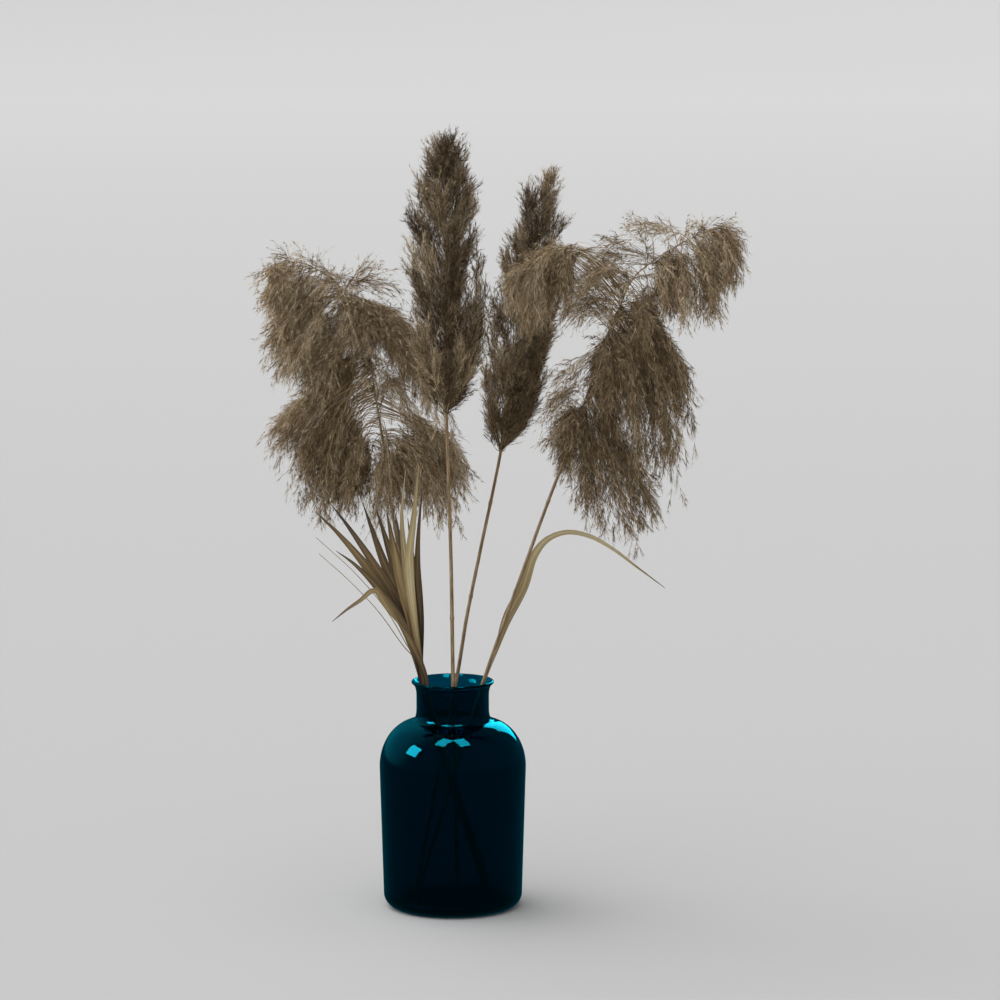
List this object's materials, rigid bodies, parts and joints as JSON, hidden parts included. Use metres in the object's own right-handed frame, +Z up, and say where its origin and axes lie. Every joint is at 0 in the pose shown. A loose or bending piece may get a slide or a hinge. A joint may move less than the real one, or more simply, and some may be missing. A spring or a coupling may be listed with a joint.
{
  "type": "vase of dried reed plumes",
  "caption": "Dark teal glass bottle vase holding tall dried reed plumes, upright and drooping, with a fan of dried blades and an arching one.",
  "frame": {"origin": "middle of the vase's flat foot, where it rests", "axes": "+Z up along the vase's axis, +X to the right of the arrangement as it is looked at, +Y to its back"},
  "size_m": [0.5086, 0.1822, 0.776],
  "materials": {
    "vase_glass": "polished",
    "culm": "matte",
    "plume": "matte",
    "blade": "matte",
    "straw": "matte"
  },
  "bodies": {
    "root": {"vase": "vase_glass", "stem_tall": "culm", "stem_rear": "culm", "stem_right": "culm", "stem_left": "culm", "plume_tall": "plume", "plume_rear": "plume", "plume_right": "plume", "plume_left": "plume", "blade_folded": "blade", "blade_pale_tall": "straw", "blade_pale_inner": "straw", "blade_edge": "blade", "blade_broad_front": "blade", "blade_broad_middle": "blade", "blade_low_left": "blade", "blade_far_left": "blade", "blade_dark_left": "blade", "blade_middle_left": "blade", "blade_broad_inner": "blade", "blade_back_edge": "blade", "straw_long": "straw", "straw_short": "straw", "blade_arched": "straw"}
  },
  "joints": []
}
